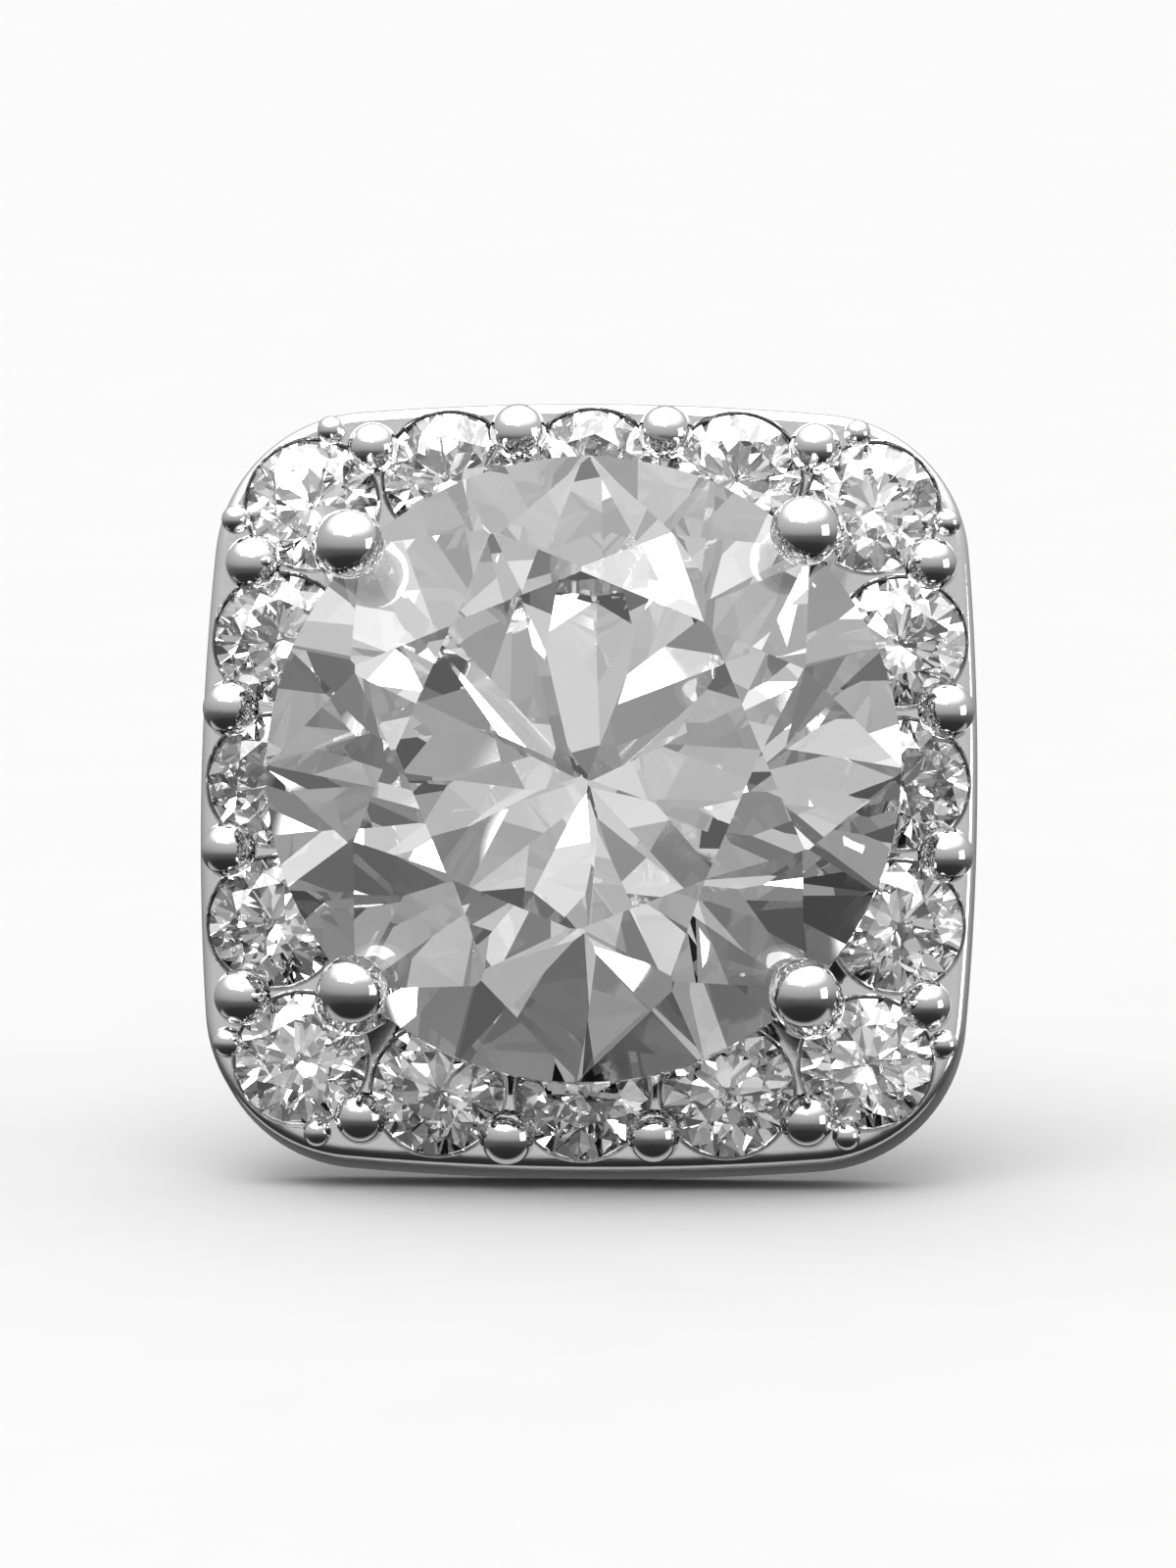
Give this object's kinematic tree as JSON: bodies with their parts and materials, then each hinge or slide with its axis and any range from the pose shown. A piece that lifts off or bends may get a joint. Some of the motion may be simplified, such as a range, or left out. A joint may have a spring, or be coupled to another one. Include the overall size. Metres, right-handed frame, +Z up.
{
  "type": "stud earring",
  "caption": "Cushion halo stud earring: a round brilliant in ball-tipped claws, framed by small round stones, on a straight post.",
  "frame": {"origin": "middle of the footprint, at the level surface that the stud lies on", "axes": "+Z up, the face looks along -Y and tilts up by 17 degrees, +X to the right of someone facing it"},
  "size_m": [0.008, 0.0148, 0.0079],
  "materials": {
    "white_metal": "polished",
    "clear_stone": "polished"
  },
  "bodies": {
    "root": {"setting": "white_metal", "center_stone": "clear_stone", "halo_stone_01": "clear_stone", "halo_stone_02": "clear_stone", "halo_stone_03": "clear_stone", "halo_stone_04": "clear_stone", "halo_stone_05": "clear_stone", "halo_stone_06": "clear_stone", "halo_stone_07": "clear_stone", "halo_stone_08": "clear_stone", "halo_stone_09": "clear_stone", "halo_stone_10": "clear_stone", "halo_stone_11": "clear_stone", "halo_stone_12": "clear_stone", "halo_stone_13": "clear_stone", "halo_stone_14": "clear_stone", "halo_stone_15": "clear_stone", "halo_stone_16": "clear_stone"}
  },
  "joints": []
}
